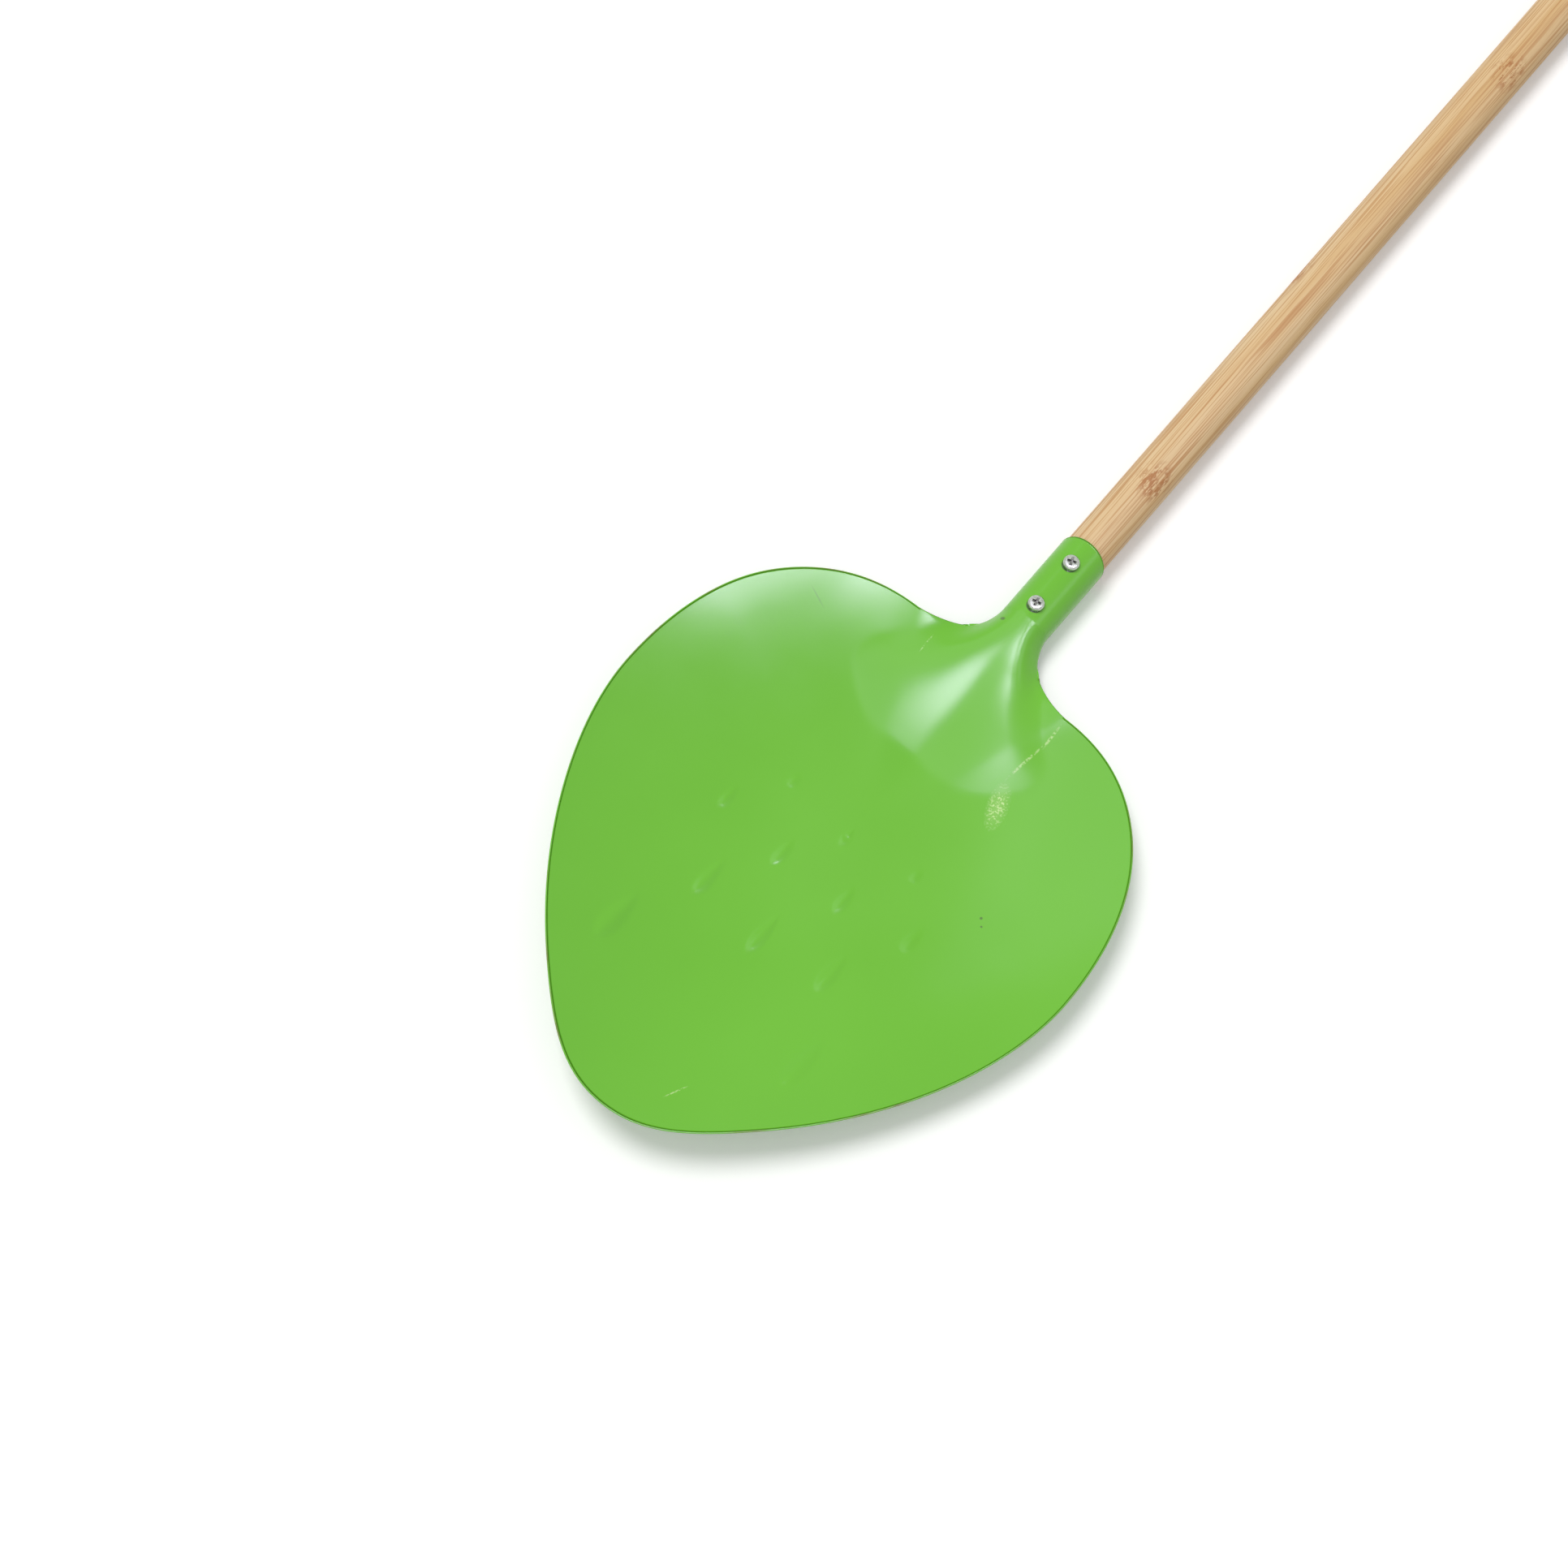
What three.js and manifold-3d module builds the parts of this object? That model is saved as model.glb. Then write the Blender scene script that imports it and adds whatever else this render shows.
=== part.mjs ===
// Children's spade: a pressed steel blade with a rolled socket, on a bamboo shaft held by two screws.
// Sizes are in millimetres. The spade lies on its back on the plane z = 0, with the shaft along +Y.
// The sub-parts are modelled with the socket's rim at y = 0, and the group centres the whole spade.
import * as THREE from "three";
import { mergeVertices } from "three/addons/utils/BufferGeometryUtils.js";
import Module from "manifold-3d";

// Fits
const SOCKET_CLEARANCE = 0.2;
const SCREW_CLEARANCE = 0.2;
const HEAD_CLEARANCE = 0.2;

// Shaft
const SHAFT_DIAMETER = 16;
const SHAFT_FREE_LENGTH = 410;
const SHAFT_INSERTION = 33.5;
const SHAFT_END_ROUND = 3;
const SHAFT_FOOT_CHAMFER = 0.8;
const SHAFT_SIDES = 40;

// Sheet and socket
const SHEET = 0.7;
const SOCKET_LENGTH = 34;
const SOCKET_RIM_SLANT = 3;
const SEAM_GAP = 1.6;

// Neck, where the socket opens out to the blade's shoulders
const NECK_LENGTH = 18;
const KINK_HALF_WIDTH = 31.3;
const KINK_HEIGHT = 10;
const UNROLL_POWER = 1.5;
const LIFT_POWER = 0.5;
const EDGE_LAG = 0.75;

// Blade outline: half widths, and distances from the socket's rim or back from the tip
const BLADE_REACH = 250.8;
const SHOULDER = { half: 68.3, reach: 66 };
const WIDEST = { half: 92.5, reach: 129.2 };
const FLANK = { half: 46, back: 27 };

// Pull of the outline's curves at each place, along the outline
const KINK_PULL = 11.7;
const SHOULDER_PULL_IN = { half: 12.4, reach: 11 };
const SHOULDER_PULL_OUT = { half: 13.3, reach: 11.8 };
const WIDEST_PULL_IN = 32.2;
const WIDEST_PULL_OUT = 30.5;
const FLANK_PULL_IN = { half: 26.9, reach: 27 };
const FLANK_PULL_OUT = { half: 17.7, reach: 17.9 };
const TIP_PULL = 16.2;

// Dish
const DISH_REACH = 128;
const FLOOR_SHARE = 0.15;
const CLIMB_POWER = 2.4;
const RIM_HEIGHT = 16;
const TIP_HEIGHT = 22;
const NECK_RIM_SHARE = 0.1;
const RIM_RISE_ANGLE = 0.75;
const TIP_RISE_ANGLE = 1.2;

// Hood: the socket's front wall running on into the blade and falling away
const HOOD_FALL = 0.324;
const HOOD_FALL_REACH = 52.3;
const HOOD_FALL_SOFTNESS = 2;
const HOOD_WIDTH = 15;
const HOOD_SPREAD_LENGTH = 29.6;
const HOOD_SQUARENESS = 2.9;

// Foot: the ramp on which the hood runs out, to a rounded point in the dish
const FOOT_REACH = 108;
const FOOT_TAPER = 0.8;
const FOOT_ROUND = 5.6;
const FOOT_SLOPE = 0.16;
const FOOT_STEEP_RUN = 57;
const FOOT_EASE = 2.5;

// Spout: the groove up the middle of the hood
const SPOUT_TOP_HEIGHT = 18.4;
const SPOUT_START_REACH = 32.2;
const SPOUT_END_REACH = 106;
const SPOUT_EASE = 0.77;
const SPOUT_WALL_SLOPE = 0.055;
const SPOUT_WALL_GROWTH = 0.0026;
const SPOUT_BED = 1.8;
const SPOUT_BED_GROWTH = 0.06;
const CREST_ROUND = 5.4;
const CREASE_ROUND = 0.6;

// Pressed seeds: rows from the tip towards the neck, each with its places across the blade
const SEED_ROWS = [
  { reach: 197.3, length: 21.5, width: 8.5, height: 0.8, places: [-39, 39] },
  { reach: 170.5, length: 16, width: 6.2, height: 0.7, places: [0] },
  { reach: 166.9, length: 16, width: 6.2, height: 0.7, places: [-26, 26] },
  { reach: 144.7, length: 11, width: 4.8, height: 0.5, places: [-13, 13] },
  { reach: 141.6, length: 10, width: 4.6, height: 0.45, places: [-39, 39] },
  { reach: 127.3, length: 6.5, width: 3.4, height: 0.35, places: [0] },
  { reach: 123.3, length: 6, width: 3.2, height: 0.3, places: [-26, 26] },
];
const TEARDROP_SPREAD = 1.3;
const SEED_SINK = 0.25;
const SEED_ROOT = 0.2;
const SEED_SEGMENTS = 14;
const SEED_RINGS = 6;

// Screws
const UPPER_SCREW_REACH = 10;
const LOWER_SCREW_REACH = 28.9;
const SCREW_DIAMETER = 3.5;
const SCREW_LENGTH = 12;
const SCREW_POINT = 3;
const HEAD_DIAMETER = 5.7;
const HEAD_HEIGHT = 1.9;
const HEAD_WALL = 0.6;
const RECESS_WIDTH = 0.9;
const RECESS_SPAN = 3.4;
const RECESS_DEPTH = 1.1;
const SCREW_SIDES = 32;

// Mesh steps
const COLUMNS = 24;
const SOCKET_ROWS = 5;
const NECK_ROWS = 8;
const CURVE_STEPS = [6, 7, 11, 8];
const DISH_RINGS = 19;
const DOME_STEPS = 6;
const CURVE_END_STEPS = 5;
const MERGE_DISTANCE = 1e-4;
const CUT_OVERRUN = 1;

// Sizes that follow from those above
const SHAFT_RADIUS = SHAFT_DIAMETER / 2;
const SOCKET_INNER = SHAFT_RADIUS + SOCKET_CLEARANCE;
const SOCKET_OUTER = SOCKET_INNER + SHEET;
const AXIS_HEIGHT = SOCKET_OUTER;
const SOCKET_TOP = AXIS_HEIGHT + SOCKET_OUTER;
const KINK_REACH = SOCKET_LENGTH + NECK_LENGTH;
const HALF_TURN = Math.PI - SEAM_GAP / (2 * SOCKET_OUTER);
const DISH_CENTRE = new THREE.Vector2(0, -DISH_REACH);
const KINK_ANGLE = Math.atan2(KINK_HALF_WIDTH, DISH_REACH - KINK_REACH);

const wasm = await Module();
wasm.setup();

function smoothBetween(low, high, value) {
  return THREE.MathUtils.smoothstep(value, low, high);
}

// The smaller of two heights, with the crest rounded where they differ by less than round
function softMin(a, b, round) {
  const near = Math.max(0, 1 - Math.abs(a - b) / round);
  return Math.min(a, b) - (near * near * round) / 4;
}

// A rise that is nothing below zero and starts gently above it
function softStart(rise, round) {
  const up = THREE.MathUtils.clamp(rise, 0, round);
  return (up * up) / (2 * round) + Math.max(0, rise - round);
}

// Half of the blade's outline, from the kink at the neck round to the tip
function halfOutline() {
  const place = (half, reach) => new THREE.Vector2(half, -reach);
  const kink = place(KINK_HALF_WIDTH, KINK_REACH);
  const shoulder = place(SHOULDER.half, SHOULDER.reach);
  const widest = place(WIDEST.half, WIDEST.reach);
  const flankReach = BLADE_REACH - FLANK.back;
  const flank = place(FLANK.half, flankReach);
  const tip = place(0, BLADE_REACH);
  const curves = [
    new THREE.CubicBezierCurve(
      kink,
      place(KINK_HALF_WIDTH + KINK_PULL, KINK_REACH),
      place(SHOULDER.half - SHOULDER_PULL_IN.half, SHOULDER.reach - SHOULDER_PULL_IN.reach),
      shoulder,
    ),
    new THREE.CubicBezierCurve(
      shoulder,
      place(SHOULDER.half + SHOULDER_PULL_OUT.half, SHOULDER.reach + SHOULDER_PULL_OUT.reach),
      place(WIDEST.half, WIDEST.reach - WIDEST_PULL_IN),
      widest,
    ),
    new THREE.CubicBezierCurve(
      widest,
      place(WIDEST.half, WIDEST.reach + WIDEST_PULL_OUT),
      place(FLANK.half + FLANK_PULL_IN.half, flankReach - FLANK_PULL_IN.reach),
      flank,
    ),
    new THREE.CubicBezierCurve(
      flank,
      place(FLANK.half - FLANK_PULL_OUT.half, flankReach + FLANK_PULL_OUT.reach),
      place(TIP_PULL, BLADE_REACH),
      tip,
    ),
  ];
  const points = [kink];
  curves.forEach((curve, i) => points.push(...curve.getSpacedPoints(CURVE_STEPS[i]).slice(1)));
  return points;
}

// The dish's whole boundary, from the left kink across the neck to the right kink, then round the tip
function dishBoundary() {
  const right = halfOutline();
  const left = right.slice(1, -1).map((p) => new THREE.Vector2(-p.x, p.y));
  const neck = [];
  for (let i = 0; i < COLUMNS; i++) {
    const across = (2 * i) / COLUMNS - 1;
    neck.push(new THREE.Vector2(KINK_HALF_WIDTH * across, -KINK_REACH));
  }
  return [...neck, ...right, ...left.reverse()];
}

const BOUNDARY = dishBoundary();

// How far out a place lies, as a share of the way from the dish's centre to its boundary
function shareOut(x, y) {
  const ray = new THREE.Vector2(x, y).sub(DISH_CENTRE);
  for (let i = 0; i < BOUNDARY.length; i++) {
    const from = BOUNDARY[i].clone().sub(DISH_CENTRE);
    const to = BOUNDARY[(i + 1) % BOUNDARY.length].clone().sub(DISH_CENTRE);
    const area = from.cross(to);
    const along = from.cross(ray) / area;
    const before = ray.cross(to) / area;
    if (along >= 0 && before >= 0) return along + before;
  }
  return 0;
}

// Height of the rim in the direction of a place, seen from the dish's centre
function rimHeight(x, y) {
  const angle = Math.abs(Math.atan2(x - DISH_CENTRE.x, y - DISH_CENTRE.y));
  const neck = THREE.MathUtils.lerp(NECK_RIM_SHARE, 1, smoothBetween(0, KINK_ANGLE, angle));
  const side = smoothBetween(KINK_ANGLE, KINK_ANGLE + RIM_RISE_ANGLE, angle);
  const tip = smoothBetween(Math.PI - TIP_RISE_ANGLE, Math.PI, angle);
  return KINK_HEIGHT * neck + (RIM_HEIGHT - KINK_HEIGHT) * side + (TIP_HEIGHT - RIM_HEIGHT) * tip;
}

function dishHeight(x, y, share) {
  const climb = Math.max(0, (share - FLOOR_SHARE) / (1 - FLOOR_SHARE));
  return SHEET + (rimHeight(x, y) - SHEET) * climb ** CLIMB_POWER;
}

// How far the hood stands above the dish
function hoodRise(x, y, dish) {
  const past = -y - HOOD_FALL_REACH;
  const top = SOCKET_TOP - (HOOD_FALL * (past + Math.hypot(past, HOOD_FALL_SOFTNESS))) / 2;
  const width = HOOD_WIDTH * Math.exp((-y - KINK_REACH) / HOOD_SPREAD_LENGTH);
  return Math.max(0, top - dish) * Math.exp(-(Math.abs(x / width) ** HOOD_SQUARENESS));
}

function spoutHeight(x, y) {
  const span = SPOUT_END_REACH - SPOUT_START_REACH;
  const share = THREE.MathUtils.clamp((-y - SPOUT_START_REACH) / span, 0, 1);
  const bed = SPOUT_TOP_HEIGHT * (1 - smoothBetween(0, 1, share ** SPOUT_EASE));
  const slope = SPOUT_WALL_SLOPE + SPOUT_WALL_GROWTH * (-y - KINK_REACH);
  const round = SPOUT_BED + SPOUT_BED_GROWTH * Math.max(0, -y - KINK_REACH);
  return bed + slope * (Math.hypot(x, round) - round);
}

function footHeight(x, y) {
  const run = FOOT_REACH + y - FOOT_TAPER * (Math.hypot(x, FOOT_ROUND) - FOOT_ROUND);
  return FOOT_SLOPE * run * (1 + (run / FOOT_STEEP_RUN) ** 2);
}

// Height of the blade's upper face: the dish, with the grooved hood rising out of it at the neck
function bladeHeight(x, y, share = shareOut(x, y)) {
  const dish = dishHeight(x, y, share);
  const grooved = softMin(hoodRise(x, y, dish), spoutHeight(x, y) - dish, CREST_ROUND);
  return dish + softStart(softMin(grooved, footHeight(x, y), FOOT_EASE), CREASE_ROUND);
}

// A place on the socket's outer face: across runs from one seam edge (-1) to the other (1)
function socketPoint(across, along) {
  const turn = across * HALF_TURN;
  const rim = -SOCKET_RIM_SLANT * (1 - Math.cos(turn));
  return new THREE.Vector3(
    SOCKET_OUTER * Math.sin(turn),
    THREE.MathUtils.lerp(rim, -SOCKET_LENGTH, along),
    AXIS_HEIGHT + SOCKET_OUTER * Math.cos(turn),
  );
}

// A place on the neck, which unrolls from the socket's circle to the blade's shoulders
function neckPoint(across, along) {
  const turn = across * HALF_TURN;
  const unroll = along ** UNROLL_POWER;
  const lift = smoothBetween(0, 1, along ** LIFT_POWER);
  const lag = EDGE_LAG * across * across * (smoothBetween(0, 1, along) - along);
  const x = THREE.MathUtils.lerp(SOCKET_OUTER * Math.sin(turn), KINK_HALF_WIDTH * across, unroll);
  const y = -SOCKET_LENGTH - NECK_LENGTH * (along + lag);
  const rolled = AXIS_HEIGHT + SOCKET_OUTER * Math.cos(turn);
  return new THREE.Vector3(x, y, THREE.MathUtils.lerp(rolled, bladeHeight(x, y), lift));
}

// The upper face of the whole sheet, as points and triangles
function upperFace() {
  const points = [];
  const triangles = [];
  const quad = (a, b, c, d) => triangles.push(a, b, c, a, c, d);

  for (let row = 0; row < SOCKET_ROWS + NECK_ROWS; row++) {
    for (let i = 0; i <= COLUMNS; i++) {
      const across = (2 * i) / COLUMNS - 1;
      const inNeck = row - SOCKET_ROWS;
      points.push(inNeck < 0 ? socketPoint(across, row / SOCKET_ROWS) : neckPoint(across, inNeck / NECK_ROWS));
    }
  }
  const dishStart = points.length;
  const around = BOUNDARY.length;
  for (let ring = 0; ring < DISH_RINGS; ring++) {
    const share = 1 - ((1 - FLOOR_SHARE) * ring) / (DISH_RINGS - 1);
    for (const edge of BOUNDARY) {
      const place = DISH_CENTRE.clone().lerp(edge, share);
      points.push(new THREE.Vector3(place.x, place.y, bladeHeight(place.x, place.y, share)));
    }
  }
  const floorStart = dishStart + (DISH_RINGS - 1) * around;
  const centre = points.length;
  points.push(new THREE.Vector3(DISH_CENTRE.x, DISH_CENTRE.y, SHEET));

  for (let row = 0; row < SOCKET_ROWS + NECK_ROWS; row++) {
    const last = row === SOCKET_ROWS + NECK_ROWS - 1;
    const here = row * (COLUMNS + 1);
    const next = last ? dishStart : here + COLUMNS + 1;
    for (let i = 0; i < COLUMNS; i++) quad(here + i, next + i, next + i + 1, here + i + 1);
  }
  for (let ring = 0; ring < DISH_RINGS - 1; ring++) {
    const here = dishStart + ring * around;
    for (let i = 0; i < around; i++) {
      const j = (i + 1) % around;
      quad(here + i, here + around + i, here + around + j, here + j);
    }
  }
  for (let i = 0; i < around; i++) triangles.push(floorStart + i, centre, floorStart + ((i + 1) % around));
  return { points, triangles, floorStart };
}

// Edges that only one triangle uses, in that triangle's direction
function openEdges(triangles) {
  const edges = new Map();
  for (let i = 0; i < triangles.length; i += 3) {
    for (let k = 0; k < 3; k++) {
      const a = triangles[i + k];
      const b = triangles[i + ((k + 1) % 3)];
      if (!edges.delete(b + "," + a)) edges.set(a + "," + b, [a, b]);
    }
  }
  return [...edges.values()];
}

function geometryOf(points, triangles) {
  const geometry = new THREE.BufferGeometry().setFromPoints(points);
  geometry.setIndex(triangles);
  return geometry;
}

// A closed sheet: the upper face, the same face one sheet below it, and the walls between them
function sheetGeometry() {
  const { points, triangles, floorStart } = upperFace();
  const face = geometryOf(points, triangles);
  face.computeVertexNormals();
  const up = new THREE.Vector3(0, 0, 1);
  const below = points.map((point, i) => {
    const normal = i < floorStart ? new THREE.Vector3().fromBufferAttribute(face.attributes.normal, i) : up;
    return point.clone().addScaledVector(normal, -SHEET);
  });
  const count = points.length;
  const all = [...triangles];
  for (let i = 0; i < triangles.length; i += 3) {
    all.push(triangles[i] + count, triangles[i + 2] + count, triangles[i + 1] + count);
  }
  for (const [a, b] of openEdges(triangles)) all.push(b, a, a + count, b, a + count, b + count);
  return geometryOf([...points, ...below], all);
}

// One pressed seed: a low teardrop on the blade, with its round head towards the tip
function seedGeometry(x, row) {
  const seed = new THREE.SphereGeometry(1, SEED_SEGMENTS, SEED_RINGS).rotateX(Math.PI / 2);
  const place = seed.attributes.position;
  for (let i = 0; i < place.count; i++) {
    const spread = TEARDROP_SPREAD * Math.sqrt(Math.max(0, (1 - place.getY(i)) / 2));
    const tall = place.getZ(i) > 0 ? row.height + SEED_SINK : SEED_ROOT;
    const across = x + (place.getX(i) * spread * row.width) / 2;
    const along = -row.reach + (place.getY(i) * row.length) / 2;
    place.setXYZ(i, across, along, bladeHeight(across, along) - SEED_SINK + place.getZ(i) * spread * tall);
  }
  return seed;
}

// Geometry to solid and back, for joins and cuts
function solidOf(geometry) {
  const bare = geometry.clone();
  bare.deleteAttribute("normal");
  bare.deleteAttribute("uv");
  const merged = mergeVertices(bare, MERGE_DISTANCE);
  return new wasm.Manifold(
    new wasm.Mesh({
      numProp: 3,
      vertProperties: merged.attributes.position.array,
      triVerts: new Uint32Array(merged.index.array),
    }),
  );
}

function geometryFrom(solid) {
  const mesh = solid.getMesh();
  const geometry = new THREE.BufferGeometry();
  geometry.setAttribute("position", new THREE.BufferAttribute(mesh.vertProperties, 3));
  geometry.setIndex(new THREE.BufferAttribute(mesh.triVerts, 1));
  geometry.computeVertexNormals();
  return geometry;
}

// A round cutter along Z, from one height to another, at a distance from the socket's rim
function holeCutter(reach, diameter, low, high) {
  const cutter = new THREE.CylinderGeometry(diameter / 2, diameter / 2, high - low, SCREW_SIDES);
  return solidOf(cutter.rotateX(Math.PI / 2).translate(0, -reach, (low + high) / 2));
}

const SCREW_REACHES = [UPPER_SCREW_REACH, LOWER_SCREW_REACH];
const HOLE_DIAMETER = SCREW_DIAMETER + 2 * SCREW_CLEARANCE;
const HEAD_SEAT = SOCKET_TOP + HEAD_CLEARANCE;
const SCREW_TIP_HEIGHT = HEAD_SEAT - SCREW_LENGTH;

function bladeGeometry() {
  let blade = solidOf(sheetGeometry());
  for (const row of SEED_ROWS) {
    for (const x of row.places) blade = blade.add(solidOf(seedGeometry(x, row)));
  }
  for (const reach of SCREW_REACHES) {
    blade = blade.subtract(holeCutter(reach, HOLE_DIAMETER, AXIS_HEIGHT, SOCKET_TOP + CUT_OVERRUN));
  }
  return geometryFrom(blade);
}

// A quarter round in a lathe profile, from the side of a rod to its end face
function endRound(radius, end, round) {
  const points = [];
  for (let i = 0; i <= CURVE_END_STEPS; i++) {
    const turn = (Math.PI / 2) * (i / CURVE_END_STEPS);
    points.push(new THREE.Vector2(
      radius - round + round * Math.cos(turn),
      end - round + round * Math.sin(turn),
    ));
  }
  return points;
}

function shaftGeometry() {
  const profile = [
    new THREE.Vector2(0, -SHAFT_INSERTION),
    new THREE.Vector2(SHAFT_RADIUS - SHAFT_FOOT_CHAMFER, -SHAFT_INSERTION),
    new THREE.Vector2(SHAFT_RADIUS, -SHAFT_INSERTION + SHAFT_FOOT_CHAMFER),
    ...endRound(SHAFT_RADIUS, SHAFT_FREE_LENGTH, SHAFT_END_ROUND),
    new THREE.Vector2(0, SHAFT_FREE_LENGTH),
  ];
  const rod = new THREE.LatheGeometry(profile, SHAFT_SIDES).translate(0, 0, AXIS_HEIGHT);
  let shaft = solidOf(rod);
  for (const reach of SCREW_REACHES) {
    const low = SCREW_TIP_HEIGHT - SCREW_CLEARANCE;
    shaft = shaft.subtract(holeCutter(reach, HOLE_DIAMETER, low, SOCKET_TOP + CUT_OVERRUN));
  }
  return geometryFrom(shaft);
}

// A pan-head screw with a cross recess, its head seated on the socket
function screwGeometry(reach) {
  const radius = SCREW_DIAMETER / 2;
  const profile = [
    new THREE.Vector2(0, -SCREW_LENGTH),
    new THREE.Vector2(radius, -SCREW_LENGTH + SCREW_POINT),
    new THREE.Vector2(radius, 0),
    new THREE.Vector2(HEAD_DIAMETER / 2, 0),
  ];
  for (let i = 0; i <= DOME_STEPS; i++) {
    const turn = (Math.PI / 2) * (i / DOME_STEPS);
    const dome = HEAD_WALL + (HEAD_HEIGHT - HEAD_WALL) * Math.sin(turn);
    profile.push(new THREE.Vector2((HEAD_DIAMETER / 2) * Math.cos(turn), dome));
  }
  profile[profile.length - 1].x = 0;
  let screw = solidOf(new THREE.LatheGeometry(profile, SCREW_SIDES).rotateX(Math.PI / 2));
  const recessHeight = RECESS_DEPTH + CUT_OVERRUN;
  const recessMiddle = HEAD_HEIGHT - RECESS_DEPTH + recessHeight / 2;
  for (const [width, span] of [[RECESS_SPAN, RECESS_WIDTH], [RECESS_WIDTH, RECESS_SPAN]]) {
    const slot = new THREE.BoxGeometry(width, span, recessHeight).translate(0, 0, recessMiddle);
    screw = screw.subtract(solidOf(slot));
  }
  return geometryFrom(screw).translate(0, -reach, HEAD_SEAT);
}

// Materials
function greenPaint() {
  return new THREE.MeshStandardMaterial({ color: 0x75c24a, roughness: 0.35, metalness: 0 });
}

function bamboo() {
  return new THREE.MeshStandardMaterial({ color: 0xd6b78d, roughness: 0.55, metalness: 0 });
}

function brightZinc() {
  return new THREE.MeshStandardMaterial({ color: 0xd8d9dc, roughness: 0.2, metalness: 1 });
}

function named(name, geometry, material) {
  const mesh = new THREE.Mesh(geometry, material);
  mesh.name = name;
  return mesh;
}

const spade = new THREE.Group();
spade.name = "childrens_spade";
spade.add(
  named("blade", bladeGeometry(), greenPaint()),
  named("shaft", shaftGeometry(), bamboo()),
  named("upper_screw", screwGeometry(UPPER_SCREW_REACH), brightZinc()),
  named("lower_screw", screwGeometry(LOWER_SCREW_REACH), brightZinc()),
);

// The middle of the spade's length goes to y = 0, and its lowest point to z = 0
const box = new THREE.Box3().setFromObject(spade, true);
spade.position.set(0, -(box.min.y + box.max.y) / 2, -box.min.z);

export default spade;
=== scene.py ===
"""Children's spade: a finely modelled blade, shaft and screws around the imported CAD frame."""

import math

import bpy
import numpy as np
from mathutils import Color, Matrix, Vector


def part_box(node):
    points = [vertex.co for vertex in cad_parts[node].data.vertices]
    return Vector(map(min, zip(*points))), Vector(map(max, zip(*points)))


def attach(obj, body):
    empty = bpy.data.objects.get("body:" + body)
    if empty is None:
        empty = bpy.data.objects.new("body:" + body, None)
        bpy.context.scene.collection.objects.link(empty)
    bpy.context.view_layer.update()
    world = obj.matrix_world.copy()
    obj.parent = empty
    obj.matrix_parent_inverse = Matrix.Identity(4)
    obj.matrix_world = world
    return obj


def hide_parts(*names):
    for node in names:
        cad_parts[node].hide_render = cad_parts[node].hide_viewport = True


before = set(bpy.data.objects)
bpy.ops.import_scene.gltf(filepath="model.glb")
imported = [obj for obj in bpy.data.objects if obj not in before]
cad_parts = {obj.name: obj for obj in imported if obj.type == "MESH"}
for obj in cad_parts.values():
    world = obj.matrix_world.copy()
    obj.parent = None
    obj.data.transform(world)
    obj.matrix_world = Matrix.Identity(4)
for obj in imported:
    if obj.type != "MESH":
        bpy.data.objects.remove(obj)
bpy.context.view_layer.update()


def linear(red, green, blue):
    """An sRGB colour of 0 to 255 as opaque linear light."""
    shares = [channel / 255 for channel in (red, green, blue)]
    return (*Color(shares).from_srgb_to_scene_linear(), 1.0)


# Lengths are in millimetres and places start at the socket's rim, unless a heading says otherwise
MM = 0.001
_, BLADE_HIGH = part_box("blade")
SHAFT_LOW, SHAFT_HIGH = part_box("shaft")
RIM_Y = BLADE_HIGH[1]
SHAFT_RADIUS = (SHAFT_HIGH[0] - SHAFT_LOW[0]) / 2 / MM
AXIS_HEIGHT = (SHAFT_HIGH[2] + SHAFT_LOW[2]) / 2 / MM
SHAFT_FOOT = (SHAFT_LOW[1] - RIM_Y) / MM
SHAFT_END = (SHAFT_HIGH[1] - RIM_Y) / MM
SOCKET_OUTER = AXIS_HEIGHT
SOCKET_TOP = AXIS_HEIGHT + SOCKET_OUTER

# Sheet, socket and neck
SHEET = 0.7
SOCKET_LENGTH = 34.0
SOCKET_RIM_SLANT = 3.0
SEAM_GAP = 1.6
NECK_LENGTH = 18.0
KINK_HALF_WIDTH = 31.3
KINK_HEIGHT = 10.0
KINK_REACH = SOCKET_LENGTH + NECK_LENGTH
HALF_TURN = math.pi - SEAM_GAP / (2 * SOCKET_OUTER)
UNROLL_POWER = 1.5
LIFT_POWER = 0.5
EDGE_LAG = 0.75

# Blade outline: each curve as start, two pulls and end, in half width and distance from the rim
SHOULDER = (68.3, 66.0)
WIDEST = (92.5, 129.2)
FLANK = (46.0, 223.8)
TIP = (0.0, 250.8)
OUTLINE = [
    [(KINK_HALF_WIDTH, KINK_REACH), (43.0, KINK_REACH), (55.9, 55.0), SHOULDER],
    [SHOULDER, (81.6, 77.8), (WIDEST[0], 97.0), WIDEST],
    [WIDEST, (WIDEST[0], 159.7), (72.9, 196.8), FLANK],
    [FLANK, (28.3, 241.7), (16.2, TIP[1]), TIP],
]

# Dish
DISH_REACH = 128.0
FLOOR_SHARE = 0.15
CLIMB_POWER = 2.4
NECK_RIM_SHARE = 0.1
RIM_HEIGHT = 16.0
TIP_HEIGHT = 22.0
RIM_RISE_ANGLE = 0.75
TIP_RISE_ANGLE = 1.2
KINK_ANGLE = math.atan2(KINK_HALF_WIDTH, DISH_REACH - KINK_REACH)

# Hood
HOOD_FALL = 0.324
HOOD_FALL_REACH = 52.3
HOOD_FALL_SOFTNESS = 2.0
HOOD_WIDTH = 15.0
HOOD_SPREAD_LENGTH = 29.6
HOOD_SQUARENESS = 2.9

# Foot of the hood
FOOT_REACH = 108.0
FOOT_TAPER = 0.8
FOOT_ROUND = 5.6
FOOT_SLOPE = 0.16
FOOT_STEEP_RUN = 57.0
FOOT_EASE = 2.5

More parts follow.
